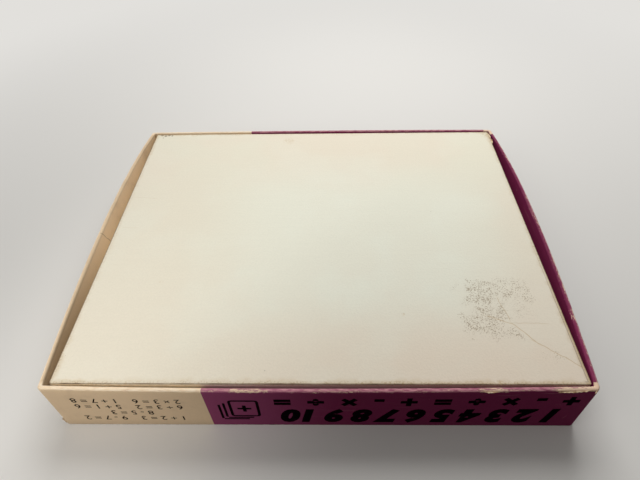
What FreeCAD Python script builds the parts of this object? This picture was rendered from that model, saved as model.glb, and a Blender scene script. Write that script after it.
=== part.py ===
import FreeCAD, Part
import math
import os

from FreeCAD import Vector

# A two-piece paperboard card box, lying upside down on its cover: the lid is a shallow tray of board
# with its mouth up, the tray is nested in it with its base up, and the deck lies between the two.
# Each half is one folded blank of board, four paper stays that hold its corners and one paper wrap.
# X runs along the long side, Y from front to back, Z up. The origin is the middle of the cover's face.

# Cards, in millimetres. The deck sets the size of everything round it.
CARD_LENGTH = 139.7
CARD_DEPTH = 114.3
CARD_THICKNESS = 0.40
CARD_COUNT = 36
CARD_CORNER_RADIUS = 4.0
CARD_SCATTER = 0.45
CARD_TWIST_DEG = 0.20

# Sheet stock: board, wrap paper, stay tape, and the film of glue between two layers.
BOARD_THICKNESS = 0.86
PAPER_THICKNESS = 0.15
STAY_THICKNESS = 0.12
GLUE_LINE = 0.10

# Clearances: deck to tray at its ends and long sides, deck to tray base, tray to lid on each side.
CARD_GAP_END = 2.74
CARD_GAP_SIDE = 2.64
HEADROOM = 5.04
TRAY_GAP_LEFT = 1.34
TRAY_GAP_RIGHT = 0.44
TRAY_GAP_FRONT = 0.36
TRAY_GAP_BACK = 0.42
RIM_RECESS = 0.30

# Folding: rounding inside a corner, the slit where two walls meet, a stay's width on each wall, and
# the strip of board left bare between the panel and the edge of the paper turned in down the wall.
INNER_CORNER_RADIUS = 0.45
MITRE_SLIT = 0.20
STAY_WIDTH = 11.0
BARE_STRIP = 6.5

# The lid's walls have sprung outwards: how far at the rim, and where along the wall the bulge peaks.
FRONT_BOW = 0.8
FRONT_BOW_PEAK = -5.0
RIGHT_BOW = 3.1
RIGHT_BOW_PEAK = 10.0
BACK_BOW = 0.5
BACK_BOW_PEAK = 10.0
LEFT_BOW = 3.2
LEFT_BOW_PEAK = 10.0

# Worked out from the driving sizes. Paper folds round an edge at about twice its own thickness.
UNDER_PAPER = PAPER_THICKNESS + GLUE_LINE
WALL = UNDER_PAPER + BOARD_THICKNESS + UNDER_PAPER
PANEL = UNDER_PAPER + BOARD_THICKNESS
CORNER_RADIUS = WALL + INNER_CORNER_RADIUS
FOLD_RADIUS = 2 * PAPER_THICKNESS
DECK_HEIGHT = CARD_COUNT * CARD_THICKNESS
TRAY_LENGTH = CARD_LENGTH + 2 * (CARD_GAP_END + WALL)
TRAY_DEPTH = CARD_DEPTH + 2 * (CARD_GAP_SIDE + WALL)
TRAY_HEIGHT = DECK_HEIGHT + HEADROOM + PANEL
TRAY_CENTRE_X = (TRAY_GAP_LEFT - TRAY_GAP_RIGHT) / 2
TRAY_CENTRE_Y = (TRAY_GAP_FRONT - TRAY_GAP_BACK) / 2
LID_LENGTH = TRAY_LENGTH + TRAY_GAP_LEFT + TRAY_GAP_RIGHT + 2 * WALL
LID_DEPTH = TRAY_DEPTH + TRAY_GAP_FRONT + TRAY_GAP_BACK + 2 * WALL
LID_HEIGHT = PANEL + TRAY_HEIGHT + RIM_RECESS

# A cutting tool runs past the face that it cuts by this much.
OVERRUN = 2.0
CORNERS = {
    "front_left": (-1, -1),
    "front_right": (1, -1),
    "back_right": (1, 1),
    "back_left": (-1, 1),
}
OUTWARD = {
    "front": Vector(0, -1, 0),
    "right": Vector(1, 0, 0),
    "back": Vector(0, 1, 0),
    "left": Vector(-1, 0, 0),
}
STRAIGHT = (0.0, 0.0)


class FoldedTray:
    """A tray of folded board with its mouth up, as a family of skins at any depth below its outside."""

    def __init__(self, length, depth, height, front=STRAIGHT, right=STRAIGHT, back=STRAIGHT, left=STRAIGHT):
        self.length = length
        self.depth = depth
        self.height = height
        self.bows = {"front": front, "right": right, "back": back, "left": left}

    def corner_centre(self, sign_x, sign_y, z):
        """The middle of a corner's arcs, the same for every skin."""
        x = self.length / 2 - CORNER_RADIUS
        y = self.depth / 2 - CORNER_RADIUS
        return Vector(sign_x * x, sign_y * y, z)

    def wall(self, side, offset, z):
        """One wall's line at a height: straight at the fold and bowed out towards the rim."""
        out = OUTWARD[side]
        along = Vector(-out.y, out.x, 0)
        radius = CORNER_RADIUS - offset
        start = self.corner_centre(out.x - along.x, out.y - along.y, z) + out * radius
        end = self.corner_centre(out.x + along.x, out.y + along.y, z) + out * radius
        bow, peak = self.bows[side]
        if not bow:
            return Part.LineSegment(start, end).toShape()
        swell = out * (2 * bow * z / self.height)
        shift = Vector(abs(along.x), abs(along.y), 0) * (2 * peak)
        curve = Part.BezierCurve()
        curve.setPoles([start, (start + end) * 0.5 + swell + shift, end])
        return curve.toShape()

    def corner(self, first, second, offset, z):
        """The arc that joins one wall to the next."""
        radius = CORNER_RADIUS - offset
        diagonal = OUTWARD[first] + OUTWARD[second]
        centre = self.corner_centre(diagonal.x, diagonal.y, z)
        middle = centre + diagonal * (radius * math.sqrt(0.5))
        arc = Part.Arc(centre + OUTWARD[first] * radius, middle, centre + OUTWARD[second] * radius)
        return arc.toShape()

    def section(self, offset, z):
        """The closed outline at a height, a depth of offset below the outside."""
        sides = list(OUTWARD)
        edges = []
        for side, following in zip(sides, sides[1:] + sides[:1]):
            edges.append(self.wall(side, offset, z))
            edges.append(self.corner(side, following, offset, z))
        return Part.Wire(edges)

    def block(self, offset, low, high):
        """Everything inside the skin at that depth, between two heights."""
        if any(bow for bow, _ in self.bows.values()):
            return Part.makeLoft([self.section(offset, low), self.section(offset, high)], True, True)
        return Part.Face(self.section(offset, low)).extrude(Vector(0, 0, high - low))

    def band(self, outer, inner, low, high):
        """The wall between two skins and two heights, open above and below."""
        return self.block(outer, low, high).cut(self.block(inner, low - OVERRUN, high + OVERRUN))

    def cup(self, outer, inner, low, floor, high):
        """Walls between two skins with a floor between low and floor."""
        return self.block(outer, low, high).cut(self.block(inner, floor, high + OVERRUN))

    def corner_box(self, sign_x, sign_y, width):
        """A box that takes in a corner and the given width of both of its walls, past both faces."""
        reach = max(bow for bow, _ in self.bows.values()) + OVERRUN
        low_x = self.length / 2 - width if sign_x > 0 else -self.length / 2 - reach
        low_y = self.depth / 2 - width if sign_y > 0 else -self.depth / 2 - reach
        low = Vector(low_x, low_y, -OVERRUN)
        return Part.makeBox(width + reach, width + reach, self.height + 2 * OVERRUN, low)

    def stay(self, sign_x, sign_y, depth_range, heights, width):
        """A strip of tape bent round a corner, between two skins and two heights."""
        strip = self.band(*depth_range, *heights)
        return strip.common(self.corner_box(sign_x, sign_y, width))

    def mitre_slit(self, sign_x, sign_y):
        """The thin cut through a corner where two folded walls meet, above the panel."""
        length = 2 * (WALL + CORNER_RADIUS)
        slit = Part.makeBox(length, MITRE_SLIT, self.height, Vector(-length / 2, -MITRE_SLIT / 2, PANEL))
        slit.rotate(Vector(0, 0, 0), Vector(0, 0, 1), 45 * sign_x * sign_y)
        slit.translate(self.corner_centre(sign_x, sign_y, 0))
        return slit

    def board(self):
        """The folded blank: a panel and four walls, slit at the corners and relieved for the stays."""
        rim = self.height - UNDER_PAPER
        blank = self.cup(UNDER_PAPER, UNDER_PAPER + BOARD_THICKNESS, UNDER_PAPER, PANEL, rim)
        relief_depths = (0, UNDER_PAPER + STAY_THICKNESS + GLUE_LINE)
        relief_heights = (PANEL, rim + OVERRUN)
        for signs in CORNERS.values():
            relief = self.stay(*signs, relief_depths, relief_heights, STAY_WIDTH + GLUE_LINE)
            blank = blank.cut(relief).cut(self.mitre_slit(*signs))
        return blank

    def stays(self):
        """The four strips of tape, by corner, each lying in the board's relief."""
        depths = (UNDER_PAPER, UNDER_PAPER + STAY_THICKNESS)
        heights = (PANEL + GLUE_LINE, self.height - UNDER_PAPER)
        return {name: self.stay(*signs, depths, heights, STAY_WIDTH) for name, signs in CORNERS.items()}

    def wrap(self):
        """The paper: it covers the outside, folds over the rim and is turned in down the inside."""
        rim = self.height - PAPER_THICKNESS
        skin = self.cup(0, PAPER_THICKNESS, 0, PAPER_THICKNESS, rim)
        over_rim = self.band(0, WALL, rim, self.height)
        turned_in = self.band(WALL - PAPER_THICKNESS, WALL, PANEL + BARE_STRIP, rim)
        paper = skin.fuse([over_rim, turned_in]).removeSplitter()
        folds = [edge for edge in paper.Edges if edge.BoundBox.ZMax < PAPER_THICKNESS / 2]
        return paper.makeFillet(FOLD_RADIUS, folds)


def upside_down(shape):
    """Turns a tray over its long axis and stands it on the lid's inside with its mouth down."""
    turned = shape.copy()
    turned.rotate(Vector(0, 0, 0), Vector(1, 0, 0), 180)
    turned.translate(Vector(TRAY_CENTRE_X, TRAY_CENTRE_Y, PANEL + TRAY_HEIGHT))
    return turned


def card(index):
    """One card of the deck, a little out of line with its neighbours as a used deck is."""
    half_x = CARD_LENGTH / 2
    half_y = CARD_DEPTH / 2
    sheet = Part.makeBox(CARD_LENGTH, CARD_DEPTH, CARD_THICKNESS, Vector(-half_x, -half_y, 0))
    uprights = [edge for edge in sheet.Edges if edge.BoundBox.ZLength > CARD_THICKNESS / 2]
    sheet = sheet.makeFillet(CARD_CORNER_RADIUS, uprights)
    golden_angle = math.pi * (3 - math.sqrt(5))
    turn = index * golden_angle
    sheet.rotate(Vector(0, 0, 0), Vector(0, 0, 1), CARD_TWIST_DEG * math.sin(2 * turn))
    shift = Vector(math.cos(turn), math.sin(turn), 0) * CARD_SCATTER
    sheet.translate(shift + Vector(TRAY_CENTRE_X, TRAY_CENTRE_Y, PANEL + index * CARD_THICKNESS))
    return sheet


def lid_parts():
    """The lid's pieces by name: board, wrap and four stays."""
    lid = FoldedTray(
        LID_LENGTH,
        LID_DEPTH,
        LID_HEIGHT,
        front=(FRONT_BOW, FRONT_BOW_PEAK),
        right=(RIGHT_BOW, RIGHT_BOW_PEAK),
        back=(BACK_BOW, BACK_BOW_PEAK),
        left=(LEFT_BOW, LEFT_BOW_PEAK),
    )
    parts = {"lid_board": lid.board(), "lid_wrap": lid.wrap()}
    for name, stay in lid.stays().items():
        parts["lid_stay_" + name] = stay
    return parts


def tray_parts():
    """The tray's pieces by name, turned base up: board, wrap and four stays."""
    tray = FoldedTray(TRAY_LENGTH, TRAY_DEPTH, TRAY_HEIGHT)
    parts = {"tray_board": tray.board(), "tray_wrap": tray.wrap()}
    for name, stay in tray.stays().items():
        front_or_back, side = name.split("_")
        turned_name = ("back_" if front_or_back == "front" else "front_") + side
        parts["tray_stay_" + turned_name] = stay
    return {name: upside_down(shape) for name, shape in parts.items()}


def deck_parts():
    """The cards by name, from the lid's inside upwards."""
    return {f"card_{index + 1:02d}": card(index) for index in range(CARD_COUNT)}


def main():
    """Builds every piece, prints its volume and writes it to its own file."""
    os.makedirs("parts", exist_ok=True)
    for name, shape in {**lid_parts(), **tray_parts(), **deck_parts()}.items():
        solids = shape.Solids
        piece = solids[0] if len(solids) == 1 else Part.makeCompound(solids)
        if not name.startswith("card_"):
            print(name, "solids", len(solids), "valid", piece.isValid(), "mm3", round(piece.Volume, 1))
        piece.exportStep(f"parts/{name}.step")
    print("lid", round(LID_LENGTH, 2), round(LID_DEPTH, 2), round(LID_HEIGHT, 2))
    print("tray", round(TRAY_LENGTH, 2), round(TRAY_DEPTH, 2), round(TRAY_HEIGHT, 2))


main()
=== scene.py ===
import logging
import math
import random
from dataclasses import dataclass
from enum import Enum
from functools import cached_property, reduce
from typing import Mapping, Optional, Sequence, Union

import bmesh
import bpy
from bmesh.types import BMEdge, BMesh, BMVert
from bpy.types import Material, Node, NodeSocket as Socket, NodeTree, Object
from mathutils import Euler, Matrix, Vector, noise


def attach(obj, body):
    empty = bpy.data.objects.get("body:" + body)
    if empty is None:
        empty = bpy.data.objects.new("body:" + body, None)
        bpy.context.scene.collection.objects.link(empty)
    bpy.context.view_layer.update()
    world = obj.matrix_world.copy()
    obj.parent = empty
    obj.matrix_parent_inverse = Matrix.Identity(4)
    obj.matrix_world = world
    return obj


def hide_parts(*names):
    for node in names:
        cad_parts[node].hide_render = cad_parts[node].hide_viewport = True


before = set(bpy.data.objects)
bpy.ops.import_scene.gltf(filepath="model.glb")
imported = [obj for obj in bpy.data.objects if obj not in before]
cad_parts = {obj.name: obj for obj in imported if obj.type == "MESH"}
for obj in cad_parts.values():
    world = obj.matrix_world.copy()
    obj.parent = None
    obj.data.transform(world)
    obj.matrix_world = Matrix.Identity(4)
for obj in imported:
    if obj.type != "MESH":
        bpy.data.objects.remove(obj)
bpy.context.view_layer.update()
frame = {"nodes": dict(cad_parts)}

# A shallow two-piece card box that lies upside down: the lid on its cover with its mouth up, and the
# tray nested in it with its base up. Lengths are in millimetres until a finished mesh is scaled.
LOG = logging.getLogger("card_box")
MM = 0.001
SHARP_ANGLE = math.radians(42)
ORIGIN = (0.0, 0.0, 0.0)
Colour = tuple[float, float, float, float]
Feed = Union[Socket, float, Sequence[float]]
Place = tuple[float, float, float]

# Sizes that the shapes and their finishes share: both halves over their folds, and the tray's seat.
LID_LENGTH = 152.4
LID_DEPTH = 125.8
LID_HEIGHT = 21.96
TRAY_LENGTH = 147.9
TRAY_DEPTH = 122.3
TRAY_HEIGHT = 20.55
TRAY_MIDDLE = (0.45, -0.03)
TRAY_BASE = 21.66


def srgb(*screen: int) -> Colour:
    """Turns red, green and blue as they show on screen, from 0 to 255, into a shader's linear colour."""
    parts = [value / 255 for value in screen]
    return (*(p / 12.92 if p <= 0.04045 else ((p + 0.055) / 1.055) ** 2.4 for p in parts), 1.0)


class Side(Enum):
    """A wall of the box, by the way that it faces."""

    FRONT = (0, -1)
    RIGHT = (1, 0)
    BACK = (0, 1)
    LEFT = (-1, 0)


class Graph:
    """A node tree with short ways to add nodes and join them."""

    NOISE_ROUGHNESS = 0.55

    def __init__(self, tree: NodeTree) -> None:
        """Keeps the tree that nodes are added to."""
        self.tree = tree

    def feed(self, socket: Socket, value: Feed) -> None:
        """Links an input to another node, or sets it to a plain value.

        Args:
            socket: the input.
            value: an output to link, or a number, vector or colour.
        """
        if isinstance(value, Socket):
            self.tree.links.new(value, socket)
        else:
            socket.default_value = value

    def add(self, kind: str, inputs: Mapping[Union[str, int], Feed],
            **settings: Union[str, NodeTree]) -> Node:
        """Adds a shader node.

        Args:
            kind: the node's type, without its usual prefix.
            inputs: what each input takes, by name or number.
            **settings: the node's own options.

        Returns:
            The new node.
        """
        node = self.tree.nodes.new("ShaderNode" + kind)
        for option, value in settings.items():
            setattr(node, option, value)
        for key, value in inputs.items():
            self.feed(node.inputs[key], value)
        return node

    def math(self, operation: str, *values: Feed) -> Socket:
        """Adds one step of arithmetic and returns its result."""
        return self.add("Math", dict(enumerate(values)), operation=operation).outputs[0]

    def times(self, *values: Feed) -> Socket:
        """Multiplies several values."""
        return reduce(lambda done, value: self.math("MULTIPLY", done, value), values)

    def most(self, *masks: Feed) -> Socket:
        """Takes the greatest of several masks."""
        return reduce(lambda done, mask: self.math("MAXIMUM", done, mask), masks)

    def plus(self, first: Feed, second: Feed) -> Socket:
        """Adds two values."""
        return self.math("ADD", first, second)

    def less(self, value: Feed, taken: Feed) -> Socket:
        """Takes one value from another."""
        return self.math("SUBTRACT", value, taken)

    def size(self, value: Feed) -> Socket:
        """Drops a value's sign."""
        return self.math("ABSOLUTE", value)

    def share(self, value: Feed, factor: Feed, base: Feed) -> Socket:
        """Adds a value times a factor to a base."""
        return self.math("MULTIPLY_ADD", value, factor, base)

    def ramp(self, value: Feed, low: Feed, high: Feed) -> Socket:
        """Rises smoothly from 0 at low to 1 at high, or falls where low is the greater."""
        inputs = {"Value": value, "From Min": low, "From Max": high}
        return self.add("MapRange", inputs, interpolation_type="SMOOTHSTEP").outputs[0]

    def between(self, value: Feed, low: float, high: float) -> Socket:
        """Spreads a value from 0 to 1 evenly over a range of its own."""
        inputs = {"Value": value, "To Min": low, "To Max": high}
        return self.add("MapRange", inputs).outputs[0]

    def noise(self, place: Feed, scale: Feed, detail: float = 3.0) -> Socket:
        """Reads a noise, about 0.5 in the mean, whose scale is in waves to a millimetre."""
        inputs = {"Vector": place, "Scale": scale, "Detail": detail, "Roughness": self.NOISE_ROUGHNESS}
        return self.add("TexNoise", inputs).outputs[0]

    def mix(self, factor: Feed, first: Feed, second: Feed) -> Socket:
        """Mixes two colours, where a factor of 0 gives the first and 1 the second."""
        return self.add("Mix", {0: factor, 6: first, 7: second}, data_type="RGBA").outputs[2]

    def shade(self, colour: Feed, value: Feed) -> Socket:
        """Makes a colour lighter or darker by a factor about 1."""
        return self.add("HueSaturation", {"Color": colour, "Value": value}).outputs[0]

    def vector(self, x: Feed, y: Feed, z: Feed) -> Socket:
        """Makes a vector of three values."""
        return self.add("CombineXYZ", {0: x, 1: y, 2: z}).outputs[0]

    def split(self, vector: Feed) -> list[Socket]:
        """Takes a vector apart into its three values."""
        return list(self.add("SeparateXYZ", {0: vector}).outputs)

    def stretch(self, vector: Feed, by: Sequence[float]) -> Socket:
        """Scales a vector by a factor for each axis."""
        return self.add("VectorMath", {0: vector, 1: by}, operation="MULTIPLY").outputs[0]

    def use(self, group: NodeTree, **inputs: Feed) -> Socket:
        """Places a node group and returns its first output."""
        return self.add("Group", inputs, node_tree=group).outputs[0]

    def seen(self) -> Socket:
        """Gives 1 to what the camera sees, straight, in gloss or through glass, and 0 to other light."""
        path = self.add("LightPath", {}).outputs
        return self.most(*(path[f"Is {kind} Ray"] for kind in ("Camera", "Glossy", "Transmission")))


class Effect(Graph):
    """A node group in the making: named inputs, one output and the graph between them."""

    def __init__(self, name: str, output: str, **inputs: Union[float, Place]) -> None:
        """Makes the group and its sockets.

        Args:
            name: the group's name.
            output: the name of its one output value.
            **inputs: each input's first value, a number or a vector.
        """
        super().__init__(bpy.data.node_groups.new(name, "ShaderNodeTree"))
        sockets = self.tree.interface
        for label, value in inputs.items():
            kind = "NodeSocketVector" if isinstance(value, tuple) else "NodeSocketFloat"
            socket = sockets.new_socket(name=label, in_out="INPUT", socket_type=kind)
            socket.default_value = value
        sockets.new_socket(name=output, in_out="OUTPUT", socket_type="NodeSocketFloat")
        self.given = self.tree.nodes.new("NodeGroupInput").outputs
        self.place = self.given["Position"]
        self.result = self.tree.nodes.new("NodeGroupOutput").inputs[0]

    def finish(self, value: Socket) -> NodeTree:
        """Joins the last value to the output and returns the group."""
        self.feed(self.result, value)
        return self.tree


class PaperEffects:
    """The marks that several papers share, each a node group that is built once."""

    def __init__(self) -> None:
        """Builds every group."""
        self.fibre = self.make_fibre()
        self.spot = self.make_spot()
        self.stroke = self.make_stroke()
        self.fleck = self.make_fleck()

    @staticmethod
    def make_fibre() -> NodeTree:
        """Makes fibres felted across each other, as fine light and dark in the sheet.

        Returns:
            The group.
        """
        g = Effect("paper fibre", "Tone", Position=ORIGIN, Size=1.0)
        fine = g.math("DIVIDE", 1.0, g.given["Size"])
        across = g.noise(g.stretch(g.place, (0.35, 1.6, 1.6)), fine, 4.0)
        along = g.noise(g.stretch(g.place, (1.6, 0.35, 0.35)), fine, 4.0)
        grain = g.noise(g.place, g.times(fine, 3.5), 2.0)
        felt = g.plus(g.times(across, 0.35), g.times(along, 0.35))
        return g.finish(g.plus(felt, g.times(grain, 0.3)))

    @staticmethod
    def make_spot() -> NodeTree:
        """Makes a round mark with a soft, uneven edge.

        Returns:
            The group.
        """
        g = Effect("spot", "Mask", Position=ORIGIN, Centre=ORIGIN, Radius=1.0, Ragged=0.3)
        distance = g.add("VectorMath", {0: g.place, 1: g.given["Centre"]}, operation="DISTANCE")
        near = g.math("DIVIDE", distance.outputs["Value"], g.given["Radius"])
        wobble = g.less(g.noise(g.place, 0.5, 4.0), 0.5)
        return g.finish(g.ramp(g.share(wobble, g.given["Ragged"], near), 1.0, 0.35))

    @staticmethod
    def make_stroke() -> NodeTree:
        """Makes a thin straight mark, such as a scratch or a crease, on a flat face.

        Returns:
            The group.
        """
        g = Effect("stroke", "Mask", Position=ORIGIN, Middle=ORIGIN, Turn=0.0, Length=10.0, Width=0.2)
        offset = g.add("VectorMath", {0: g.place, 1: g.given["Middle"]}, operation="SUBTRACT")
        turn = {"Vector": offset.outputs[0], "Angle": g.times(g.given["Turn"], -1.0)}
        turned = g.add("VectorRotate", turn, rotation_type="Z_AXIS").outputs[0]
        along, across, _ = g.split(turned)
        drift = g.less(g.noise(g.place, 0.25, 2.0), 0.5)
        thin = g.ramp(g.size(g.share(drift, 1.2, across)), g.given["Width"], 0.0)
        half = g.times(g.given["Length"], 0.5)
        return g.finish(g.times(thin, g.ramp(g.size(along), half, g.times(half, 0.6))))

    @staticmethod
    def make_fleck() -> NodeTree:
        """Makes small scattered specks.

        Returns:
            The group.
        """
        g = Effect("flecks", "Mask", Position=ORIGIN, Spacing=2.0, Size=0.3)
        spacing = g.given["Spacing"]
        inputs = {"Vector": g.place, "Scale": g.math("DIVIDE", 1.0, spacing), "Randomness": 1.0}
        cells = g.add("TexVoronoi", inputs).outputs
        distance = g.times(cells["Distance"], spacing)
        reach = g.times(g.given["Size"], g.ramp(g.split(cells["Color"])[0], 0.35, 1.0))
        return g.finish(g.ramp(distance, reach, g.times(reach, 0.4)))


class Surface(Graph):
    """A material in the making: its shader, and where each of its points lies in millimetres."""

    def __init__(self, name: str, roughness: float, specular: float,
                 middle: Optional[tuple[float, float]] = None) -> None:
        """Starts a material with a matt shader.

        Args:
            name: the material's name.
            roughness: the shader's roughness.
            specular: the shader's specular level.
            middle: the piece's middle, from which x and y are measured, where these are needed.
        """
        self.material = bpy.data.materials.new(name)
        self.material.use_nodes = True
        super().__init__(self.material.node_tree)
        self.shader = self.tree.nodes["Principled BSDF"]
        self.shader.inputs["Roughness"].default_value = roughness
        self.shader.inputs["Specular IOR Level"].default_value = specular
        self.coordinates = self.add("TexCoord", {}).outputs
        self.place = self.stretch(self.coordinates["Object"], (1 / MM, 1 / MM, 1 / MM))
        if middle is not None:
            x, y, self.z = self.split(self.place)
            self.x = self.less(x, middle[0])
            self.y = self.less(y, middle[1])

    @cached_property
    def inset(self) -> Socket:
        """How far a point lies inside the outline, as the mesh carries it."""
        return self.add("Attribute", {}, attribute_name="inset").outputs["Fac"]

    def finish(self, colour: Feed, roughness: Feed, height: Feed, depth: float) -> Material:
        """Joins a finished look to the shader.

        Args:
            colour: the surface's colour.
            roughness: its roughness.
            height: the height of its relief, from 0 to 1.
            depth: the depth of that relief.

        Returns:
            The material.
        """
        bump = self.add("Bump", {"Height": height, "Distance": depth * MM})
        look = {"Base Color": colour, "Roughness": roughness, "Normal": bump.outputs[0]}
        for label, value in look.items():
            self.feed(self.shader.inputs[label], value)
        return self.material


@dataclass(frozen=True)
class Finish:
    """What every paper's finish shares: short ways to the marks."""

    effects: PaperEffects

    def fibre(self, g: Surface, size: float) -> Socket:
        """Gives the fibres of the sheet."""
        return g.use(self.effects.fibre, Position=g.place, Size=size)

    def fleck(self, g: Surface, place: Feed, spacing: float, size: float) -> Socket:
        """Scatters specks."""
        return g.use(self.effects.fleck, Position=place, Spacing=spacing, Size=size)

    def spot(self, g: Surface, centre: Place, radius: float, ragged: float) -> Socket:
        """Draws one round mark."""
        return g.use(self.effects.spot, Position=g.place, Centre=centre, Radius=radius, Ragged=ragged)

    def stroke(self, g: Surface, place: Feed, row: tuple[Place, float, float, float]) -> Socket:
        """Draws one scratch or crease, given by its middle, turn, length and width."""
        inputs = dict(zip(("Middle", "Turn", "Length", "Width"), row))
        return g.use(self.effects.stroke, Position=place, **inputs)


@dataclass(frozen=True)
class PrintedPaper(Finish):
    """The lid's wrap: cream and purple print, rubbed to the white of the sheet along its edges, with painted
    shade on its inner rims and left wall, a painted highlight on the cream rim and a painted sheen on the
    front wall.
    """

    cream: Colour = srgb(243, 215, 178)
    purple: Colour = srgb(132, 46, 86)
    rubbed: Colour = srgb(208, 150, 158)
    # Colour of the painted sheen on the left of the purple front wall.
    painted_sheen_colour: Colour = srgb(224, 146, 192)
    # The rubbed white of the sheet, and also the painted highlight on the cream rim.
    rubbed_white_and_highlight: Colour = srgb(253, 236, 211)
    core: Colour = srgb(244, 212, 184)
    # Dirt, and also the colour of painted shade.
    grime_and_shade: Colour = srgb(124, 98, 70)
    parting: float = -31.0
    rim: float = LID_HEIGHT

    # Where the rim is worn hardest: centre, radius and strength.
    WORN = (
        ((-19.0, -63.4, 21.9), 7.5, 0.14),
        ((6.0, -63.6, 21.9), 9.0, 0.05),
        ((46.5, -63.5, 21.9), 5.5, 0.16),
        ((69.5, -63.3, 21.8), 8.5, 0.22),
        ((75.6, -62.6, 21.4), 3.2, 0.36),
        ((75.4, 62.4, 21.8), 4.5, 0.3),
        ((77.9, -38.5, 21.9), 3.5, 0.12),
        ((77.2, -45.6, 21.9), 3.0, 0.07),
        ((79.2, 5.0, 21.9), 18.0, 0.06),
        ((78.6, -24.0, 21.9), 12.0, 0.07),
        ((76.6, 45.0, 21.9), 14.0, 0.05),
        ((34.0, 63.4, 21.9), 16.0, 0.07),
        ((-75.6, -62.4, 0.4), 2.4, 0.2),
    )

    # Scratches on the front wall and a crack in the left wall's inside: middle, turn, length and width.
    SCRATCHES = (
        ((66.0, 20.4, 0.0), -0.04, 13.0, 0.14),
        ((52.0, 19.6, 0.0), 0.05, 7.0, 0.1),
        ((-8.0, 3.2, 0.0), 0.02, 9.0, 0.1),
        ((71.5, 6.0, 0.0), 1.2, 2.2, 0.16),
    )
    CRACK = ((-1.5, 19.0, 0.0), -1.28, 8.4, 0.24)

    def material(self) -> Material:
        """Builds the material.

        Returns:
            The material.
        """
        g = Surface("lid paper", 0.55, 0.01, (0.0, 0.0))
        fibre = self.fibre(g, 0.8)
        right = g.ramp(g.x, self.parting - 0.08, self.parting + 0.08)
        # Painted sheen: the purple front wall is mixed paler and pinker towards the parting, as if lit from
        # the left.
        painted_sheen = g.times(g.ramp(g.x, 10.0, -26.0), g.ramp(g.y, -61.8, -62.4), 0.17)
        colour = g.mix(right, self.cream, g.mix(painted_sheen, self.purple, self.painted_sheen_colour))
        colour = g.shade(colour, g.between(g.noise(g.place, 0.035, 2.0), 0.92, 1.08))
        colour = g.shade(colour, g.between(fibre, 0.9, 1.1))
        # Dirt in clouds, with painted shade low on the walls towards the cover.
        soiled_and_shaded = g.times(self.soil_and_low_shade(g), g.share(right, -0.17, 0.2))
        # Painted shade on the inside of the left wall, towards the front.
        colour = g.mix(g.most(soiled_and_shaded, self.painted_inner_shade(g)), colour, self.grime_and_shade)
        # Painted shade: the inner half of the end rims is darkened.
        colour = g.shade(colour, g.between(self.painted_rim_shade(g), 1.0, 0.8))
        colour = g.mix(g.times(self.crack(g), 0.6), colour, self.grime_and_shade)
        along = g.vector(g.times(g.plus(g.x, g.y), 0.4), g.times(g.inset, 2.2), g.z)
        # Rubbed wear along rims and folds; on the cream rim's outer edge it is also a painted highlight.
        rub_and_highlight = g.times(self.rub_and_highlight(g, along), g.share(right, 0.15, 0.75))
        colour = g.mix(rub_and_highlight, colour, g.mix(right, self.rubbed_white_and_highlight, self.rubbed))
        colour = g.mix(g.times(self.scuffs(g), right, 0.3), colour, self.rubbed)
        wear = self.wear(g, along)
        colour = g.mix(wear, colour, g.shade(self.core, g.between(fibre, 0.82, 1.1)))
        rough = g.share(wear, 0.35, g.between(fibre, 0.42, 0.6))
        return g.finish(colour, rough, g.share(wear, -0.8, g.times(fibre, 0.9)), 0.06)

    def soil_and_low_shade(self, g: Surface) -> Socket:
        """Handling dirt in soft clouds, and painted shade that deepens towards the cover."""
        cloud = g.ramp(g.noise(g.place, 0.12, 5.0), 0.5, 0.8)
        return g.most(cloud, g.times(g.ramp(g.z, 5.0, 0.0), 0.6))

    def painted_inner_shade(self, g: Surface) -> Socket:
        """Painted shade on the inside of the left wall, deepening towards the front corner."""
        inside = g.times(g.ramp(g.x, -72.0, -73.0), g.ramp(g.inset, 0.8, 1.25))
        return g.times(inside, g.ramp(g.y, 5.0, -56.0), 0.54)

    def painted_rim_shade(self, g: Surface) -> Socket:
        """The inner half of the rim along the two ends, darkened there as painted shade.

        Args:
            g: the material's graph.

        Returns:
            The mask.
        """
        crest = g.ramp(g.z, self.rim - 1.2, self.rim - 0.5)
        unshaded_stretch = g.times(g.ramp(g.x, 60.0, 70.0), g.ramp(g.y, -20.0, -48.0))
        ends = g.times(g.ramp(g.size(g.y), 61.5, 60.0), g.less(1.0, unshaded_stretch))
        return g.times(crest, ends, g.ramp(g.inset, 0.3, 0.8))

    def crack(self, g: Surface) -> Socket:
        """The crack that runs down the left wall's inside from a chip in its rim."""
        inside = g.times(g.ramp(g.x, -72.0, -73.0), g.ramp(g.inset, 0.7, 1.0))
        return g.times(self.stroke(g, g.vector(g.y, g.z, 0.0), self.CRACK), inside)

    def rub_and_highlight(self, g: Surface, along: Socket) -> Socket:
        """The line along rim and cover folds where the print is rubbed pale, broadest along the front; along
        the cream end's rim it is also a painted highlight.

        Args:
            g: the material's graph.
            along: the place along the rim, drawn out.

        Returns:
            The mask.
        """
        streak = g.between(g.ramp(g.noise(along, 1.1, 5.0), 0.36, 0.62), 0.25, 1.0)
        crosswise = g.ramp(g.size(g.y), 60.0, 61.5)
        outer = g.between(g.ramp(g.inset, 0.8, 0.2), 0.12, 1.0)
        top = g.times(g.ramp(g.z, self.rim - 0.5, self.rim - 0.2), g.most(crosswise, outer))
        low = g.times(g.ramp(g.z, 0.55, 0.1), g.ramp(g.inset, 0.5, 0.2), 0.6)
        return g.times(g.most(top, low), streak)

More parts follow.
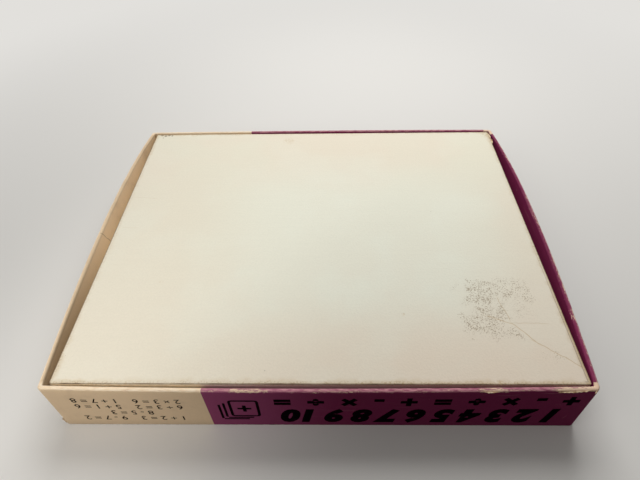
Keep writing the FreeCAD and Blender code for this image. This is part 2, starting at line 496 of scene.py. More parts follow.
    def scuffs(self, g: Surface) -> Socket:
        """Faint pale drags across the print, from sliding in and out of a shelf, and a few scratches.

        Args:
            g: the material's graph.

        Returns:
            The mask.
        """
        drag = g.noise(g.stretch(g.place, (0.06, 0.06, 1.3)), 1.0, 4.0)
        where = g.ramp(g.noise(g.place, 0.06, 2.0), 0.5, 0.7)
        front = g.times(g.ramp(g.y, -61.0, -62.5), 1.6)
        wall = g.vector(g.x, g.z, 0.0)
        scratches = [g.times(self.stroke(g, wall, row), front) for row in self.SCRATCHES]
        return g.most(g.times(g.ramp(drag, 0.58, 0.72), where, 0.6), *scratches)

    def wear(self, g: Surface, along: Socket) -> Socket:
        """Flecks worn through to the sheet: at the rim, the corners, the folds and a few hard knocks.

        Args:
            g: the material's graph.
            along: the place along the rim, drawn out.

        Returns:
            The mask.
        """
        fleck = g.share(g.noise(along, 0.9, 3.0), 0.4, g.times(g.noise(along, 3.0, 5.0), 0.6))
        crest = g.ramp(g.z, self.rim - 1.0, self.rim - 0.15)
        band = g.times(crest, g.ramp(g.inset, 1.2, 0.3))
        low = g.times(g.ramp(g.z, 0.8, 0.1), 0.7)
        beyond_x = g.less(g.size(g.x), LID_LENGTH / 2 - 1.3)
        beyond_y = g.less(g.size(g.y), LID_DEPTH / 2 - 1.3)
        corner = g.ramp(g.math("MINIMUM", beyond_x, beyond_y), 0.2, 1.0)
        score = g.share(g.most(band, low, g.times(corner, 0.8)), 0.1, fleck)
        exposed = g.most(crest, low)
        for centre, radius, strength in self.WORN:
            score = g.share(g.times(self.spot(g, centre, radius, 1.2), exposed), strength, score)
        return g.ramp(score, 0.64, 0.74)


@dataclass(frozen=True)
class PlainPaper(Finish):
    """The tray's wrap: off-white laid paper, yellowed and dirty along its edges, with old marks."""

    sheet: Colour = srgb(233, 228, 209)
    warm: Colour = srgb(236, 222, 203)
    # Cool blotches, and the painted highlight about the base's middle.
    cool_tone_and_highlight: Colour = srgb(237, 237, 221)
    stain: Colour = srgb(198, 170, 124)
    dirt: Colour = srgb(92, 70, 48)
    residue: Colour = srgb(146, 125, 97)
    base: float = TRAY_BASE

    # Hairline creases on the base: middle, turn, length and width.
    CREASES = (
        ((55.0, -40.1, 21.6), -0.38, 10.0, 0.2),
        ((61.0, -44.7, 21.6), -0.92, 12.0, 0.22),
        ((68.4, -51.8, 21.6), -0.66, 18.0, 0.2),
        ((57.0, -36.0, 21.6), -1.33, 11.0, 0.14),
        ((63.5, -41.2, 21.6), -0.05, 13.0, 0.1),
        ((-67.0, 17.2, 21.6), -0.13, 12.0, 0.05),
        ((-68.5, 0.6, 21.6), 0.0, 7.0, 0.05),
    )

    # Spots on the base: centre, radius and strength.
    SPOTS = (
        ((26.2, -37.9, 21.6), 0.7, 0.7),
        ((-13.7, 55.2, 21.6), 3.2, 0.45),
        ((-50.9, -25.2, 21.6), 1.1, 0.3),
        ((50.0, -60.6, 21.6), 1.2, 0.8),
        ((73.4, 58.6, 21.6), 3.4, 0.6),
    )

    # Specks of dirt that cling to the base: centre and radius.
    SPECKS = (
        ((-71.0, 60.6, 21.6), 0.95),
        ((-69.3, 60.0, 21.6), 0.8),
        ((-67.9, 60.3, 21.6), 0.75),
        ((-66.4, 60.1, 21.6), 0.6),
        ((-70.1, 58.4, 21.6), 0.4),
        ((-73.4, -61.0, 21.6), 0.8),
    )

    # What is left of a gummed slip: the middle of each block, its half sizes, its lean and its strength.
    BLOCKS = (
        (57.4, -28.4, 10.4, 5.4, 0.0, 0.72),
        (51.0, -29.4, 5.4, 5.8, 0.18, 1.0),
        (52.2, -36.4, 6.4, 4.0, 0.0, 0.8),
        (49.4, -41.8, 6.6, 4.4, -0.2, 0.92),
        (54.2, -44.8, 6.0, 2.8, -0.4, 0.7),
        (62.0, -36.4, 4.4, 4.4, 0.0, 0.45),
        (44.2, -25.8, 2.0, 2.6, 0.0, 0.6),
        (66.0, -52.2, 3.6, 2.4, -0.6, 0.5),
    )

    def material(self) -> Material:
        """Builds the material.

        Returns:
            The material.
        """
        g = Surface("tray paper", 0.75, 0.2, TRAY_MIDDLE)
        laid = g.noise(g.stretch(g.place, (0.05, 1.0, 0.05)), 1.1, 3.0)
        grain = g.noise(g.place, 1.7, 5.0)
        colour = g.shade(self.aged(g), g.between(laid, 0.985, 1.015))
        colour = g.shade(colour, g.between(grain, 0.94, 1.06))
        edge, fold = self.edges(g)
        on_base = g.between(g.ramp(g.z, self.base - 1.4, self.base - 0.3), 0.2, 1.0)
        colour = g.mix(g.times(edge, on_base), colour, self.stain)
        colour = g.mix(fold, colour, self.dirt)
        colour = g.mix(g.times(self.patch(g), 0.74), colour, self.residue)
        marks = self.marks(g)
        colour = g.mix(g.times(marks, 0.7), colour, self.stain)
        flecks = g.times(self.fleck(g, g.place, 7.0, 0.25), 0.35)
        specks = [g.times(self.spot(g, *row, 1.0), 0.7) for row in self.SPECKS]
        colour = g.mix(g.most(flecks, *specks), colour, self.dirt)
        rough = g.between(self.fibre(g, 1.1), 0.65, 0.85)
        weave = g.share(laid, 0.4, g.times(grain, 1.4))
        return g.finish(colour, rough, g.share(marks, -1.2, g.times(weave, on_base)), 0.03)

    def aged(self, g: Surface) -> Socket:
        """The sheet, yellowed in clouds and towards the front and left, cooler in blotches, and lighter and
        cooler about its middle as a painted highlight.

        Args:
            g: the material's graph.

        Returns:
            The colour.
        """
        cloud = g.times(g.ramp(g.noise(g.place, 0.022, 2.0), 0.4, 0.65), 0.5)
        front = g.times(g.ramp(g.y, 15.0, -50.0), g.between(g.ramp(g.x, -60.0, 50.0), 0.35, 1.0))
        left = g.times(g.ramp(g.x, -20.0, -60.0), g.ramp(g.y, 55.0, 20.0), 0.25)
        colour = g.mix(g.most(cloud, front, left), self.sheet, self.warm)
        # Painted highlight: the sheet lighter and cooler about the base's middle.
        from_middle_x = g.size(g.less(g.x, 16.0))
        from_middle_y = g.size(g.plus(g.y, 6.0))
        middle = g.times(g.ramp(from_middle_x, 66.0, 26.0), g.ramp(from_middle_y, 54.0, 18.0), 0.75)
        blotch = g.ramp(g.noise(g.place, 0.04, 3.0), 0.45, 0.7)
        return g.mix(g.share(blotch, 0.25, middle), colour, self.cool_tone_and_highlight)

    def edges(self, g: Surface) -> tuple[Socket, Socket]:
        """The yellowed border of the base, and the dirt ground into its folds.

        Args:
            g: the material's graph.

        Returns:
            The mask of the border and the mask of the folds.
        """
        from_end = g.less(TRAY_LENGTH / 2, g.size(g.x))
        from_side = g.less(TRAY_DEPTH / 2, g.size(g.y))
        inside = g.math("MINIMUM", from_end, from_side)
        cloud = g.noise(g.place, 0.25, 5.0)
        border = g.ramp(inside, g.between(cloud, -1.0, 5.0), 0.0)
        corner = g.ramp(g.plus(from_end, from_side), 26.0, 1.0)
        right = g.times(g.ramp(g.x, 69.0, 73.0), g.ramp(g.y, 40.0, -60.0))
        front = g.times(g.ramp(g.y, -57.0, -60.5), g.between(g.ramp(g.x, -50.0, 30.0), 0.2, 1.0))
        worst = g.share(g.most(corner, right, front), 0.6, 0.35)
        speck = g.ramp(g.noise(g.place, 1.7, 4.0), 0.5, 0.62)
        near = g.times(g.ramp(inside, g.between(cloud, -0.8, 4.4), 0.2), speck)
        edge = g.share(near, 0.3, g.times(border, worst, 0.5))
        crushed = g.times(g.ramp(g.x, 72.0, 72.6), g.ramp(g.y, 8.0, -46.0))
        edge = g.most(edge, g.times(crushed, g.ramp(inside, 0.75, 0.6), 0.7))
        skin = g.times(g.ramp(inside, 0.42, 0.2), g.ramp(inside, -0.3, -0.1))
        high = g.ramp(g.z, self.base - 0.32, self.base - 0.12)
        fold = g.times(skin, high, g.between(cloud, 0.0, 1.5))
        crest = g.between(g.ramp(g.z, self.base - 0.8, self.base - 0.2), 0.06, 1.0)
        crust = g.times(near, g.ramp(inside, 1.1, 0.4), worst, crest)
        line = g.times(g.ramp(g.size(g.less(inside, 0.85)), 0.25, 0.05), crushed)
        ground_in = g.most(fold, g.times(crust, 0.35), g.times(line, 0.5))
        return edge, g.times(ground_in, 0.85)

    def patch(self, g: Surface) -> Socket:
        """The speckled rest of an old gummed slip near the right front corner.

        Args:
            g: the material's graph.

        Returns:
            The mask.
        """
        wobble = g.times(g.less(g.noise(g.place, 0.3, 5.0), 0.5), 7.0)
        blocks = []
        for middle_x, middle_y, half_x, half_y, lean, strength in self.BLOCKS:
            across = g.less(g.y, middle_y)
            along = g.less(g.share(across, -lean, g.x), middle_x)
            past = g.most(g.less(g.size(along), half_x), g.less(g.size(across), half_y))
            blocks.append(g.times(g.ramp(g.plus(past, wobble), 1.6, -3.0), strength))
        inside = g.most(*blocks)
        islands = g.less(g.noise(g.place, 0.45, 3.0), 0.5)
        score = g.share(inside, 0.13, g.share(islands, 0.3, g.noise(g.place, 3.4, 2.0)))
        return g.times(g.ramp(inside, 0.0, 0.7), g.ramp(score, 0.65, 0.72))

    def marks(self, g: Surface) -> Socket:
        """Hairline creases and small spots on the base.

        Args:
            g: the material's graph.

        Returns:
            The mask.
        """
        masks = [self.stroke(g, g.place, row) for row in self.CREASES]
        grain = g.ramp(g.noise(g.place, 1.6, 3.0), 0.4, 0.62)
        for centre, radius, strength in self.SPOTS:
            masks.append(g.times(self.spot(g, centre, radius, 1.1), strength, grain))
        return g.most(*masks)


@dataclass(frozen=True)
class Chipboard(Finish):
    """Grey-brown board of pressed waste paper, with light and dark flecks."""

    pulp: Colour = srgb(168, 152, 126)
    shade_of_pulp: Colour = srgb(142, 126, 102)
    light: Colour = srgb(204, 194, 172)
    dark: Colour = srgb(88, 76, 62)

    def material(self) -> Material:
        """Builds the material.

        Returns:
            The material.
        """
        g = Surface("chipboard", 0.9, 0.2)
        fibre = self.fibre(g, 1.6)
        cloud = g.ramp(g.noise(g.place, 0.2, 4.0), 0.35, 0.65)
        colour = g.shade(g.mix(cloud, self.pulp, self.shade_of_pulp), g.between(fibre, 0.8, 1.2))
        colour = g.mix(g.times(self.fleck(g, g.place, 2.4, 0.5), 0.6), colour, self.light)
        askew = g.stretch(g.place, (1.3, 0.9, 1.1))
        colour = g.mix(g.times(self.fleck(g, askew, 3.1, 0.4), 0.6), colour, self.dark)
        return g.finish(colour, g.between(fibre, 0.8, 1.0), fibre, 0.09)


@dataclass(frozen=True)
class StayTape(Finish):
    """Brown kraft tape with fibres that run its length."""

    kraft: Colour = srgb(188, 160, 120)
    dark: Colour = srgb(146, 116, 80)

    def material(self) -> Material:
        """Builds the material.

        Returns:
            The material.
        """
        g = Surface("stay tape", 0.7, 0.3)
        strand = g.noise(g.stretch(g.place, (1.0, 1.0, 0.08)), 1.4, 4.0)
        colour = g.mix(g.ramp(strand, 0.35, 0.7), self.kraft, self.dark)
        colour = g.shade(colour, g.between(self.fibre(g, 1.0), 0.88, 1.12))
        return g.finish(colour, g.between(strand, 0.6, 0.85), strand, 0.04)


@dataclass(frozen=True)
class CardStock(Finish):
    """White card with a ruled border and a heading bar on each face, and edges grey from handling."""

    white: Colour = srgb(236, 231, 216)
    aged: Colour = srgb(222, 208, 178)
    edge: Colour = srgb(206, 192, 164)
    printed: Colour = srgb(118, 52, 88)
    half_length: float = 69.85
    half_depth: float = 57.15
    thickness: float = 0.4
    lowest: float = 1.11
    margin: float = 5.0

    def material(self) -> Material:
        """Builds the material.

        Returns:
            The material.
        """
        g = Surface("card stock", 0.5, 0.4, TRAY_MIDDLE)
        fibre = self.fibre(g, 0.7)
        colour = g.mix(g.ramp(g.noise(g.place, 0.04, 3.0), 0.45, 0.7), self.white, self.aged)
        colour = g.mix(self.face_print(g), colour, self.printed)
        colour = g.shade(colour, g.between(fibre, 0.95, 1.05))
        layer = g.math("FLOOR", g.math("DIVIDE", g.less(g.z, self.lowest), self.thickness))
        tone = g.add("TexWhiteNoise", {"W": layer}, noise_dimensions="1D").outputs["Value"]
        rim = g.shade(self.edge, g.between(tone, 0.8, 1.14))
        flat = g.ramp(g.size(g.split(g.coordinates["Normal"])[2]), 0.3, 0.7)
        return g.finish(g.mix(flat, rim, colour), g.between(fibre, 0.4, 0.6), fibre, 0.02)

    def face_print(self, g: Surface) -> Socket:
        """A ruled border, a heading bar and lines to write on.

        Args:
            g: the material's graph.

        Returns:
            The mask.
        """
        in_x = g.less(self.half_length - self.margin, g.size(g.x))
        in_y = g.less(self.half_depth - self.margin, g.size(g.y))
        inside = g.math("MINIMUM", in_x, in_y)
        border = g.ramp(g.size(inside), 0.5, 0.35)
        heading = g.ramp(g.size(g.less(g.y, 40.0)), 4.6, 4.4)
        wave = g.size(g.math("PINGPONG", g.plus(g.y, 100.0), 5.5))
        rules = g.times(g.ramp(wave, 0.3, 0.15), g.ramp(g.y, 29.0, 28.5))
        return g.most(border, g.times(g.ramp(inside, 3.0, 3.2), g.most(heading, rules)))


@dataclass(frozen=True)
class BlackInk(Finish):
    """Heavy black print, slightly starved and rubbed so that the ground shows in specks."""

    black: Colour = srgb(12, 7, 9)
    thin: Colour = srgb(48, 20, 32)

    def material(self) -> Material:
        """Builds the material.

        Returns:
            The material.
        """
        g = Surface("black ink", 0.6, 0.0)
        fibre = self.fibre(g, 0.5)
        starved = g.ramp(g.plus(fibre, g.times(g.noise(g.place, 0.4, 3.0), 0.4)), 0.72, 0.9)
        colour = g.mix(g.times(starved, 0.8), self.black, self.thin)
        return g.finish(colour, g.between(fibre, 0.4, 0.65), fibre, 0.03)


@dataclass(frozen=True)
class TornPaper(Finish):
    """The torn edge of a sheet: soft tan fibre, paler in clouds."""

    pale: Colour = srgb(236, 212, 178)
    tan: Colour = srgb(186, 152, 112)

    def material(self) -> Material:
        """Builds the material.

        Returns:
            The material.
        """
        g = Surface("torn paper", 0.9, 0.05)
        fibre = self.fibre(g, 0.4)
        colour = g.mix(g.ramp(g.noise(g.place, 0.9, 4.0), 0.38, 0.66), self.pale, self.tan)
        colour = g.shade(colour, g.between(fibre, 0.82, 1.16))
        return g.finish(colour, g.between(fibre, 0.8, 1.0), fibre, 0.12)


@dataclass(frozen=True)
class PaleFloor:
    """A plain pale floor that runs into the backdrop. It throws back less light than it shows."""

    pale: Colour = srgb(226, 224, 220)
    thrown_back: Colour = srgb(74, 62, 54)
    fades_from: float = 105.0
    fades_to: float = 330.0

    def material(self) -> Material:
        """Builds the material.

        Returns:
            The material.
        """
        g = Surface("pale floor", 0.9, 0.1)
        seen = g.seen()
        g.feed(g.shader.inputs["Base Color"], g.mix(seen, self.thrown_back, self.pale))
        far = g.add("VectorMath", {0: g.place}, operation="LENGTH").outputs["Value"]
        fade = g.times(g.ramp(far, self.fades_from, self.fades_to), seen)
        backdrop = g.add("Emission", {"Color": self.pale}).outputs[0]
        joined = g.add("MixShader", {0: fade, 1: g.shader.outputs[0], 2: backdrop}).outputs[0]
        g.feed(g.tree.nodes["Material Output"].inputs["Surface"], joined)
        return g.material


def finish_mesh(bm: BMesh, name: str, material: Material, body: str) -> Object:
    """Scales a piece to metres, makes it an object at the origin and fixes it to a body.

    Args:
        bm: the piece in millimetres; it is freed.
        name: the piece's name.
        material: its finish.
        body: the body that it moves with.

    Returns:
        The new object.
    """
    bmesh.ops.scale(bm, vec=(MM, MM, MM), verts=bm.verts)
    for face in bm.faces:
        face.smooth = len(face.verts) == 4
    mesh = bpy.data.meshes.new(name)
    bm.to_mesh(mesh)
    bm.free()
    mesh.set_sharp_from_angle(angle=SHARP_ANGLE)
    mesh.materials.append(material)
    piece = bpy.data.objects.new(name, mesh)
    bpy.context.scene.collection.objects.link(piece)
    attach(piece, body)
    LOG.info("%s: %d faces on %s", name, len(mesh.polygons), body)
    return piece


def lay_plate(bm: BMesh, width: float, height: float, corner: float, segments: int) -> None:
    """Lays a flat plate about the origin of an empty mesh, with so many edges round each corner."""
    bmesh.ops.create_grid(bm, x_segments=1, y_segments=1, size=0.5,
                          matrix=Matrix.Diagonal((width, height, 1.0, 1.0)))
    bmesh.ops.bevel(bm, geom=bm.verts[:], offset=corner, offset_type="OFFSET", affect="VERTICES",
                    segments=segments, profile=0.5, material=-1)


@dataclass(frozen=True)
class TornStrip:
    """A ragged strip of torn paper: its length, width, seed, place and how it is turned."""

    length: float
    width: float
    seed: int
    place: Place
    turn: Place = ORIGIN
    paper: float = 0.1
    shortest: float = 0.55
    curl: float = 0.3
    curl_waves: float = 9.0
    divisions: float = 2.5

    def add_to(self, bm: BMesh) -> None:
        """Adds the strip to a mesh, its root along y before it is turned and its torn edge at its right.

        Args:
            bm: the mesh that takes it.
        """
        strip = bmesh.new()
        rows = max(6, int(self.length * self.divisions))
        bmesh.ops.create_grid(strip, x_segments=4, y_segments=rows, size=0.5)
        draw = random.Random(self.seed)
        for vertex in strip.verts:
            out = vertex.co.x + 0.5
            taper = 1.0 - abs(2 * vertex.co.y) ** 3
            ragged = draw.uniform(self.shortest, 1.0)
            curl = self.curl * out * out * math.sin(self.curl_waves * vertex.co.y + self.seed)
            reach = out * ragged * taper * self.width
            vertex.co = (reach, vertex.co.y * self.length, curl * self.width * 0.5)
        bmesh.ops.recalc_face_normals(strip, faces=strip.faces)
        bmesh.ops.solidify(strip, geom=strip.faces[:], thickness=self.paper)
        at = Matrix.Translation(self.place) @ Euler(self.turn).to_matrix().to_4x4()
        bmesh.ops.transform(strip, matrix=at, verts=strip.verts)
        mesh = bpy.data.meshes.new("torn strip")
        strip.to_mesh(mesh)
        strip.free()
        bm.from_mesh(mesh)
        bpy.data.meshes.remove(mesh)


@dataclass(frozen=True)
class Bow:
    """How far a wall has sprung out at its rim, and where along it the bulge peaks."""

    reach: float = 0.0
    peak: float = 0.0

    def at(self, along: float, half: float) -> float:
        """Gives the bulge at the rim.

        Args:
            along: the place along the wall, from its middle.
            half: half the wall's straight length.

        Returns:
            How far the rim stands out there.
        """
        if abs(along) >= half:
            return 0.0
        pole = 2 * self.peak
        share = (along + half) / (2 * half)
        if pole:
            root = math.sqrt((half + pole) ** 2 - 2 * pole * (along + half))
            share = (half + pole - root) / (2 * pole)
        return 4 * share * (1 - share) * self.reach


@dataclass(frozen=True)
class Dent:
    """A knock in the paper: where it is, how far it reaches and how far it pushes."""

    centre: Place
    reach: float
    push: Place

    def at(self, place: Vector) -> Vector:
        """Gives how far the knock moves a place."""
        distance = (place - Vector(self.centre)).length / self.reach
        return Vector(self.push) * math.exp(-distance * distance)


@dataclass
class PaperWrap:
    """The sheet that covers one half of the box, mouth up: panel, walls, rounded rim and turned-in edge."""

    length: float
    depth: float
    height: float
    bows: Mapping[Side, Bow]
    dents: tuple[Dent, ...] = ()
    rim_round: float = 0.42
    fold_round: float = 0.3
    round_faces: int = 4
    paper: float = 0.15
    wall: float = 1.36
    corner: float = 0.7
    corner_faces: int = 5
    inner_corner: float = 0.3
    bow_end: float = 1.81
    wave: float = 0.0
    wave_depth: float = 2.5
    slow_wave: float = 0.11
    quick_wave: float = 0.42
    turned_in_to: float = 7.61
    step: float = 1.2
    wall_rings: int = 9
    inner_rings: int = 6
    weld: float = 0.001

    def build(self) -> BMesh:
        """Makes the sheet with its thickness.

        Returns:
            The closed mesh in millimetres.
        """
        bm = bmesh.new()
        fold = self.lay_panel(bm)
        ring = fold
        for count in range(self.wall_rings):
            ring = self.pull(bm, ring, self.height * (count + 1) / self.wall_rings)
        outer = ring
        ring = self.pull(bm, ring, self.height, 0.0, self.wall)
        inner = ring
        drop = self.height - self.turned_in_to
        for count in range(self.inner_rings):
            height = self.height - drop * (count + 1) / self.inner_rings
            ring = self.pull(bm, ring, height, self.wall, self.wall)
        self.round_off(bm, outer + inner, self.rim_round)
        self.round_off(bm, fold, self.fold_round)
        bmesh.ops.remove_doubles(bm, verts=bm.verts, dist=self.weld)
        bmesh.ops.recalc_face_normals(bm, faces=bm.faces)
        bmesh.ops.solidify(bm, geom=bm.faces[:], thickness=self.paper)
        self.measure(bm)
        self.settle(bm)
        return bm

    def lay_panel(self, bm: BMesh) -> list[BMEdge]:
        """Lays the panel flat, with rounded corners and finely divided sides.

        Args:
            bm: the mesh that takes it.

        Returns:
            The panel's outer edges.
        """
        lay_plate(bm, self.length, self.depth, self.corner, self.corner_faces)
        for edge in [edge for edge in bm.edges if edge.calc_length() > 10 * self.corner]:
            bmesh.ops.subdivide_edges(bm, edges=[edge], cuts=int(edge.calc_length() / self.step))
        return bm.edges[:]

    def skin(self, inset: float) -> tuple[float, float, float]:
        """Gives half the straight runs along and across at a depth, and the corners' radius there."""
        radius = max(self.corner - inset, self.inner_corner)
        return self.length / 2 - inset - radius, self.depth / 2 - inset - radius, radius

    def pull(self, bm: BMesh, edges: list[BMEdge], height: float, before: float = 0.0,
             inset: float = 0.0) -> list[BMEdge]:
        """Pulls one more ring of paper from an open edge.

        Args:
            bm: the mesh.
            edges: the open edge.
            height: how high the new edge lies.
            before: how far the open edge lies inside the outline.
            inset: how far the new edge lies inside it.

        Returns:
            The new open edge.
        """
        old_x, old_y, _ = self.skin(before)
        new_x, new_y, radius = self.skin(inset)
        made = bmesh.ops.extrude_edge_only(bm, edges=edges)["geom"]
        for vertex in (item for item in made if isinstance(item, BMVert)):
            x, y, _ = vertex.co
            held = Vector((min(max(x, -old_x), old_x), min(max(y, -old_y), old_y)))
            out = (Vector((x, y)) - held).normalized() * radius
            vertex.co = (held.x * new_x / old_x + out.x, held.y * new_y / old_y + out.y, height)
        return [item for item in made if isinstance(item, BMEdge) and item.is_boundary]

    def measure(self, bm: BMesh) -> None:
        """Notes on each vertex how far it lies inside the outline, for the wear along the rim.

        Args:
            bm: the mesh.
        """
        inset = bm.verts.layers.float.new("inset")
        half_x, half_y, radius = self.skin(0.0)
        for vertex in bm.verts:
            past = Vector((abs(vertex.co.x) - half_x, abs(vertex.co.y) - half_y))
            corner = Vector((max(past.x, 0.0), max(past.y, 0.0))).length
            vertex[inset] = radius - corner - min(max(past.x, past.y), 0.0)

    def round_off(self, bm: BMesh, edges: list[BMEdge], radius: float) -> None:
        """Rounds a run of edges."""
        bmesh.ops.bevel(bm, geom=edges, offset=radius, offset_type="OFFSET", affect="EDGES",
                        segments=self.round_faces, profile=0.5, material=-1, clamp_overlap=False)

    def settle(self, bm: BMesh) -> None:
        """Springs the walls out and knocks the dents in.

        Args:
            bm: the mesh.
        """
        for vertex in bm.verts:
            x, y, z = vertex.co
            near_rim = min(max(1.0 - (self.height - z) / self.wave_depth, 0.0), 1.0)
            slow = noise.noise(Vector((x * self.slow_wave, y * self.slow_wave, 3.0)))
            quick = noise.noise(Vector((x * self.quick_wave, y * self.quick_wave, 7.0)))
            vertex.co += self.spring(vertex.co)
            vertex.co += sum((dent.at(vertex.co) for dent in self.dents), Vector())
            vertex.co.z -= self.wave * near_rim * (0.5 + 0.25 * slow + 0.25 * quick)

    def spring(self, place: Vector) -> Vector:
        """Gives how far a wall has sprung out at a place.

        Args:
            place: the place on the straight wall.

        Returns:
            The way it moves.
        """
        half_x = self.length / 2 - self.bow_end
        half_y = self.depth / 2 - self.bow_end
        if abs(place.y) > half_y and abs(place.x) < half_x:
            side = Side.BACK if place.y > 0 else Side.FRONT
            bow = self.bows.get(side, Bow()).at(place.x, half_x)
        elif abs(place.x) > half_x and abs(place.y) < half_y:
            side = Side.RIGHT if place.x > 0 else Side.LEFT
            bow = self.bows.get(side, Bow()).at(place.y, half_y)
        else:
            return Vector()
        return Vector((*side.value, 0)) * (bow * place.z / self.height)


@dataclass(frozen=True)
class Figures:
    """A row of figures: what they are, their height, added weight, slant, widening and place on the wall."""

    body: str
    size: float
    weight: float
    slant: float
    wide: float
    along: float
    up: float


@dataclass
class WallPrint:
    """Black print on the lid's front wall, upside down as the lid lies: numbers, signs, sums and cards."""

    wrap: PaperWrap
    film: float = 0.02
    weld: float = 0.002
    card_width: float = 8.6
    card_height: float = 10.6
    card_corner: float = 1.1
    card_corner_faces: int = 3
    outline: float = 0.8
    sign: float = 4.0
    sign_line: float = 1.0
    behind: tuple[float, ...] = (1.6, 3.0)
    behind_rise: float = 0.7
    behind_line: float = 0.7
    cards_along: float = -21.6
    cards_up: float = 10.6

    def place(self, bm: BMesh, x: float, z: float) -> BMesh:
        """Stands flat print on the wall and lays it along the wall's bow.

        Args:
            bm: flat print about the origin, to be read from above.
            x: where its middle goes along the wall.
            z: how high its middle goes.

        Returns:
            The same mesh.
        """
        turn = Matrix(((-1, 0, 0), (0, 0, -1), (0, -1, 0))).to_4x4()
        at_wall = Matrix.Translation((x, -self.wrap.depth / 2, z)) @ turn
        bmesh.ops.transform(bm, matrix=at_wall, verts=bm.verts)
        for vertex in bm.verts:
            vertex.co += self.wrap.spring(Vector((vertex.co.x, -self.wrap.depth / 2, vertex.co.z)))
        return bm

    def words(self, figures: Figures) -> BMesh:
        """Sets a row of plain figures on the wall.

        Args:
            figures: the row.

        Returns:
            The print.
        """
        curve = bpy.data.curves.new("figures", "FONT")
        curve.body = figures.body
        curve.size = figures.size
        curve.offset = figures.weight
        curve.shear = figures.slant
        curve.align_x = "CENTER"
        curve.align_y = "CENTER"
        curve.extrude = self.film
        curve.resolution_u = 4
        carrier = bpy.data.objects.new("figures", curve)
        mesh = bpy.data.meshes.new_from_object(carrier)
        bm = bmesh.new()
        bm.from_mesh(mesh)
        bpy.data.objects.remove(carrier)
        bpy.data.curves.remove(curve)
        bpy.data.meshes.remove(mesh)
        bmesh.ops.remove_doubles(bm, verts=bm.verts, dist=self.weld)
        bmesh.ops.scale(bm, vec=(figures.wide, 1.0, 1.0), verts=bm.verts)
        return self.place(bm, figures.along, figures.up)

    def bar(self, bm: BMesh, x: float, y: float, width: float, height: float) -> None:
        """Adds one thin bar of print about a middle."""
        at = Matrix.Translation((x, y, 0.0)) @ Matrix.Diagonal((width, height, 2 * self.film, 1.0))
        bmesh.ops.create_cube(bm, size=1.0, matrix=at)

    def cards(self) -> BMesh:
        """Draws a plain card with a sign on it, and the edges of two more behind, on the wall.

        Returns:
            The print.
        """
        bm = bmesh.new()
        lay_plate(bm, self.card_width, self.card_height, self.card_corner, self.card_corner_faces)
        middle = bm.faces[:]
        bmesh.ops.inset_region(bm, faces=middle, thickness=self.outline, use_boundary=True,
                               use_even_offset=True)
        bmesh.ops.delete(bm, geom=middle, context="FACES")
        risen = bmesh.ops.extrude_face_region(bm, geom=bm.faces[:])["geom"]
        upper = [item for item in risen if isinstance(item, BMVert)]
        bmesh.ops.translate(bm, vec=(0.0, 0.0, 2 * self.film), verts=upper)
        bmesh.ops.recalc_face_normals(bm, faces=bm.faces)
        bmesh.ops.translate(bm, vec=(0.0, 0.0, -self.film), verts=bm.verts)
        self.bar(bm, 0.0, 0.0, self.sign, self.sign_line)
        self.bar(bm, 0.0, 0.0, self.sign_line, self.sign)
        for step in self.behind:
            rise = step * self.behind_rise
            self.bar(bm, 4.0 + step, rise, self.behind_line, 9.0)
            self.bar(bm, step, 4.9 + rise, 7.4, self.behind_line)
        bmesh.ops.translate(bm, vec=(-1.2, -1.0, 0.0), verts=bm.verts)
        return self.place(bm, self.cards_along, self.cards_up)


